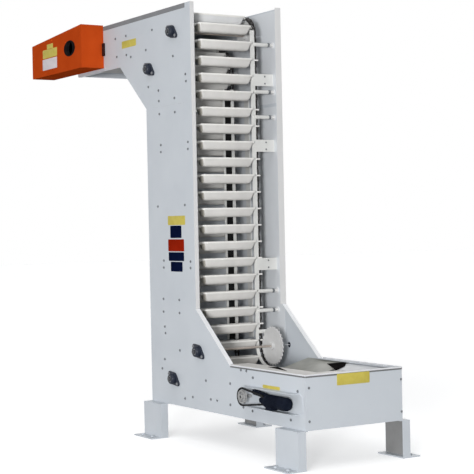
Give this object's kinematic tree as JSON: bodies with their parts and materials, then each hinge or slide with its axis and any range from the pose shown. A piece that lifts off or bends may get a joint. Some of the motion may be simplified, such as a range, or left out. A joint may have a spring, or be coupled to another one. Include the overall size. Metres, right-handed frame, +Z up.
{
  "type": "bucket elevator",
  "caption": "Pivoting-bucket elevator with a level infeed hopper, an open vertical lift, a level discharge head and a guarded side drive.",
  "frame": {"origin": "middle of the bounding box at floor level", "axes": "+X from the column towards the hopper, +Y to the right side panel, +Z up"},
  "size_m": [4.5454, 1.3654, 3.898],
  "materials": {
    "white_paint": "satin powder coat",
    "cream_paint": "satin powder coat",
    "bucket_cream": "satin moulded plastic",
    "chain_steel": "dark oiled steel",
    "steel": "machined steel",
    "orange_paint": "satin paint",
    "dark_iron": "dark paint",
    "rubber": "matte",
    "chute_beige": "worn sheet"
  },
  "bodies": {
    "frame": {"belt_tray": "white_paint", "boot_floor": "white_paint", "boot_front_left_bearing": "dark_iron", "boot_front_right_bearing": "dark_iron", "boot_rear_left_bearing": "dark_iron", "boot_rear_right_bearing": "dark_iron", "boot_rear_shaft": "steel", "bucket_run_boot_front": "chain_steel", "bucket_run_boot_rear": "chain_steel", "bucket_run_front_low": "chain_steel", "bucket_run_front_mid": "chain_steel", "bucket_run_front_top": "chain_steel", "bucket_run_head_front": "chain_steel", "bucket_run_head_rear": "chain_steel", "bucket_run_head_return": "chain_steel", "bucket_run_infeed_front": "chain_steel", "bucket_run_infeed_rear": "chain_steel", "bucket_run_rear_low": "chain_steel", "bucket_run_rear_mid": "chain_steel", "bucket_run_rear_top": "chain_steel", "chamfer_cover": "white_paint", "drive_belt": "rubber", "drive_guard": "orange_paint", "front_left_leg": "white_paint", "front_right_leg": "white_paint", "gear_motor": "dark_iron", "head_drive_shaft": "steel", "head_end_cover": "white_paint", "head_floor": "white_paint", "head_top_cover": "white_paint", "hopper_front_panel": "white_paint", "infeed_shaft": "steel", "left_body_panel": "white_paint", "left_chute_plate": "chute_beige", "left_guide_strip": "cream_paint", "left_head_panel": "white_paint", "motor_mount_plate": "white_paint", "rear_cover": "white_paint", "rear_left_leg": "white_paint", "rear_right_leg": "white_paint", "right_body_panel": "white_paint", "right_chute_plate": "chute_beige", "right_guide_strip": "cream_paint", "right_head_panel": "white_paint", "small_motor": "dark_iron", "top_front_left_bearing": "dark_iron", "top_front_right_bearing": "dark_iron", "top_front_shaft": "steel", "top_inner_left_bearing": "dark_iron", "top_inner_right_bearing": "dark_iron", "top_inner_shaft": "steel"},
    "boot_idler": {"boot_front_shaft": "steel"},
    "belt_wheel": {"belt_pulley": "steel"},
    "motor_wheel": {"motor_pulley": "steel"}
  },
  "joints": [
    {"name": "boot_idler_spin", "type": "hinge", "parent": "frame", "child": "boot_idler", "pos_m": [0.6474, 0.0327, 0.824], "axis": [0, 1, 0], "continuous": true},
    {"name": "belt_pulley_spin", "type": "hinge", "parent": "frame", "child": "belt_wheel", "pos_m": [1.4874, 0.0327, 0.515], "axis": [0, 1, 0], "continuous": true},
    {"name": "motor_pulley_spin", "type": "hinge", "parent": "frame", "child": "motor_wheel", "pos_m": [1.7773, 0.0327, 0.515], "axis": [0, 1, 0], "continuous": true}
  ],
  "couplings": [
    {"joint": "motor_pulley_spin", "follows": "belt_pulley_spin", "ratio": 2.5455}
  ]
}
